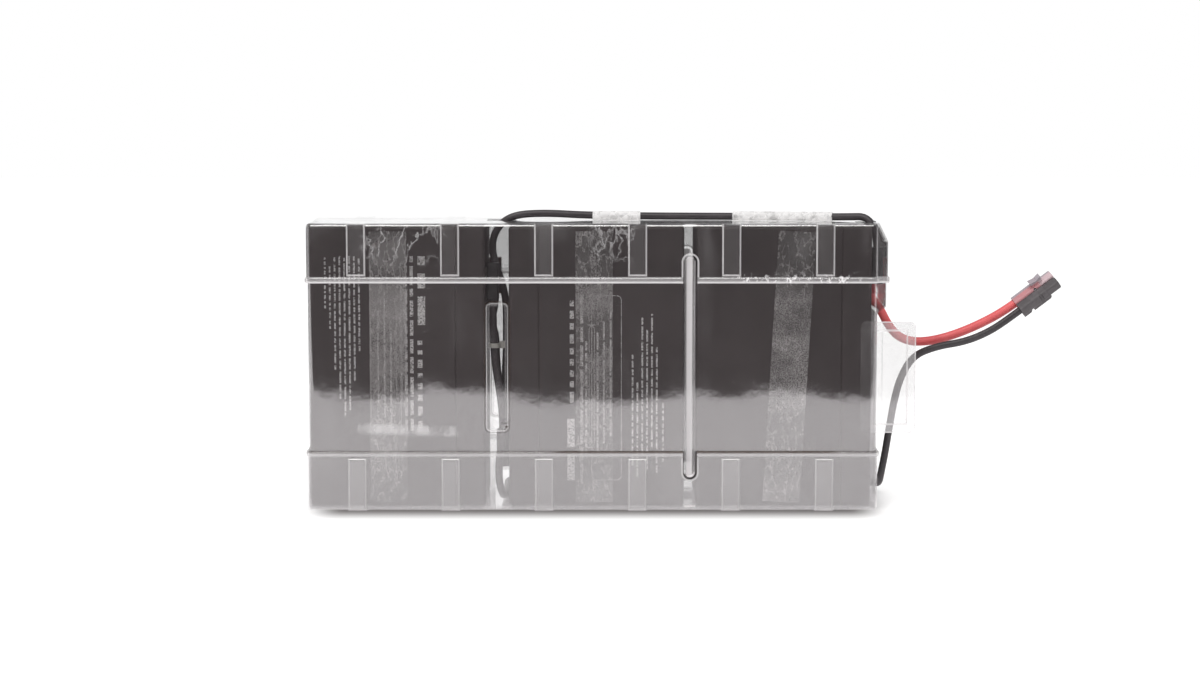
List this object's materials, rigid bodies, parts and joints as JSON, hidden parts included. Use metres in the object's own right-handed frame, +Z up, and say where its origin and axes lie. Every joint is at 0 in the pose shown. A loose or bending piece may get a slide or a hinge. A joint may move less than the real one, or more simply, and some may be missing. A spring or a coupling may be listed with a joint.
{
  "type": "battery cartridge",
  "caption": "Battery cartridge for an uninterruptible supply: sealed lead-acid blocks on end in series, in a clear thermoformed case with a pull tab and a two-pole power connector on leads.",
  "frame": {"origin": "centre of the case's base, on the surface that it stands on", "axes": "+X along the row of blocks towards the leads and the pull tab, +Y to the rear, +Z up"},
  "size_m": [0.4095, 0.0766, 0.1601],
  "materials": {
    "block_shell": "matt, finely textured",
    "rubber": "matt",
    "lead_plates": "dull",
    "tinned_brass": "bright",
    "red_boot": "satin",
    "black_boot": "satin",
    "clear_film": "clear, glossy",
    "adhesive": "translucent",
    "clear_tape": "clear, crinkled",
    "red_wire": "satin",
    "black_wire": "satin",
    "black_housing": "satin",
    "red_housing": "satin",
    "silvered_copper": "bright",
    "spring_steel": "bright",
    "nylon": "translucent"
  },
  "bodies": {
    "root": {"black_lead": "black_wire", "block_1_container": "block_shell", "block_1_front_strip": "adhesive", "block_1_lid": "block_shell", "block_1_negative_boot": "black_boot", "block_1_negative_receptacle": "tinned_brass", "block_1_negative_terminal": "tinned_brass", "block_1_plate_packs": "lead_plates", "block_1_positive_boot": "red_boot", "block_1_positive_receptacle": "tinned_brass", "block_1_positive_terminal": "tinned_brass", "block_1_rear_strip": "adhesive", "block_1_vent_caps": "rubber", "block_1_vent_cover": "block_shell", "block_2_container": "block_shell", "block_2_front_strip": "adhesive", "block_2_lid": "block_shell", "block_2_negative_boot": "black_boot", "block_2_negative_receptacle": "tinned_brass", "block_2_negative_terminal": "tinned_brass", "block_2_plate_packs": "lead_plates", "block_2_positive_boot": "red_boot", "block_2_positive_receptacle": "tinned_brass", "block_2_positive_terminal": "tinned_brass", "block_2_rear_strip": "adhesive", "block_2_vent_caps": "rubber", "block_2_vent_cover": "block_shell", "block_3_container": "block_shell", "block_3_front_strip": "adhesive", "block_3_lid": "block_shell", "block_3_negative_boot": "black_boot", "block_3_negative_receptacle": "tinned_brass", "block_3_negative_terminal": "tinned_brass", "block_3_plate_packs": "lead_plates", "block_3_positive_boot": "red_boot", "block_3_positive_receptacle": "tinned_brass", "block_3_positive_terminal": "tinned_brass", "block_3_rear_strip": "adhesive", "block_3_vent_caps": "rubber", "block_3_vent_cover": "block_shell", "bottom_tray": "clear_film", "cable_tie": "nylon", "connector_black_contact": "silvered_copper", "connector_black_housing": "black_housing", "connector_lock_pin": "spring_steel", "connector_red_contact": "silvered_copper", "connector_red_housing": "red_housing", "front_shell": "clear_film", "gap_link": "black_wire", "pull_tab": "clear_film", "rear_shell": "clear_film", "rear_tapes": "clear_tape", "red_lead": "red_wire", "top_link": "black_wire", "top_tape_left": "clear_tape", "top_tape_right": "clear_tape", "top_tray": "clear_film"}
  },
  "joints": []
}
